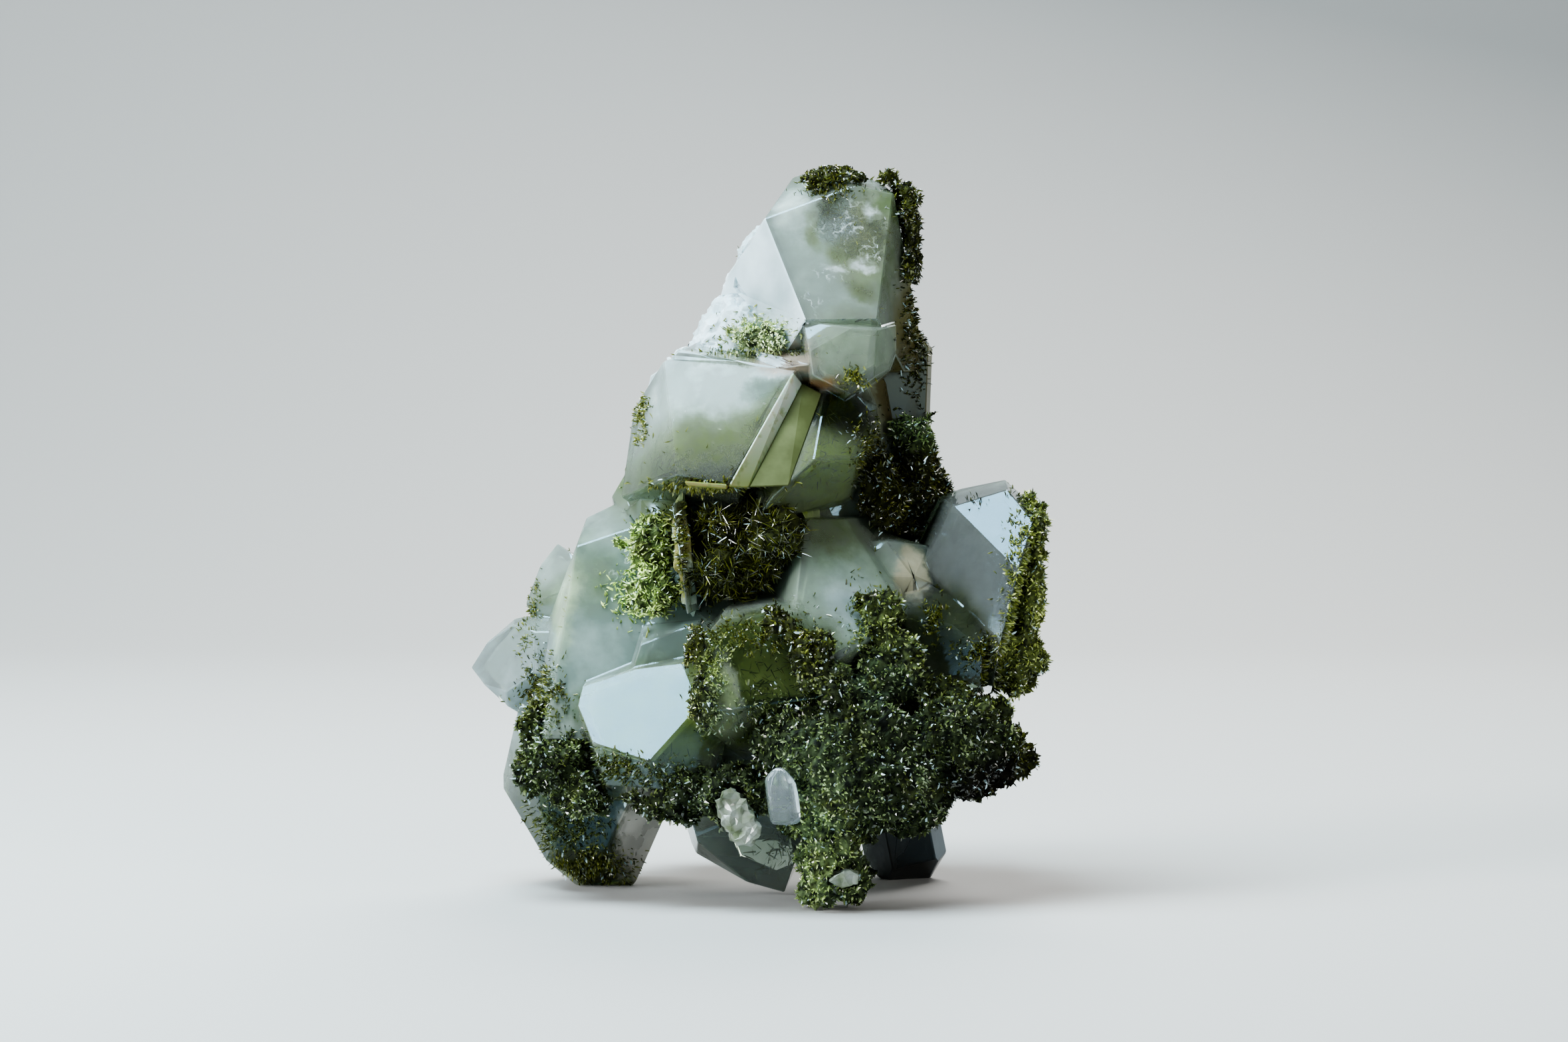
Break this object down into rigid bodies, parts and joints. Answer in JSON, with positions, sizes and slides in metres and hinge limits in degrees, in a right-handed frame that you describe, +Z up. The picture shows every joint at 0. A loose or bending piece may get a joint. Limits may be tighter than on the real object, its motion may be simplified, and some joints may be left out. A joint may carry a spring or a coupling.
{
  "type": "quartz crystal group with epidote",
  "caption": "Display group of milky to clear quartz crystals, grown together, with crusts of fine green epidote needles; stands on small flat feet.",
  "frame": {"origin": "centre of the bounding box in plan, at the level of the table", "axes": "+Z up through the tallest crystal, -Y the front that is displayed, +X to the viewer's right"},
  "size_m": [0.0565, 0.0431, 0.0702],
  "materials": {
    "quartz": "milky to clear crystal, flat glossy faces",
    "epidote": "dense crust of glossy dark olive to yellow-green needles"
  },
  "bodies": {
    "root": {"quartz_group": "quartz", "quartz_flake": "quartz", "quartz_chip": "quartz", "quartz_clear_point": "quartz", "epidote_crown": "epidote", "epidote_crest": "epidote", "epidote_shoulder": "epidote", "epidote_middle_right": "epidote", "epidote_nest": "epidote", "epidote_nest_left": "epidote", "epidote_left_lump": "epidote", "epidote_right_edge": "epidote", "epidote_block_left": "epidote", "epidote_front_mass": "epidote", "epidote_back_upper": "epidote", "epidote_back_lower": "epidote"}
  },
  "joints": []
}
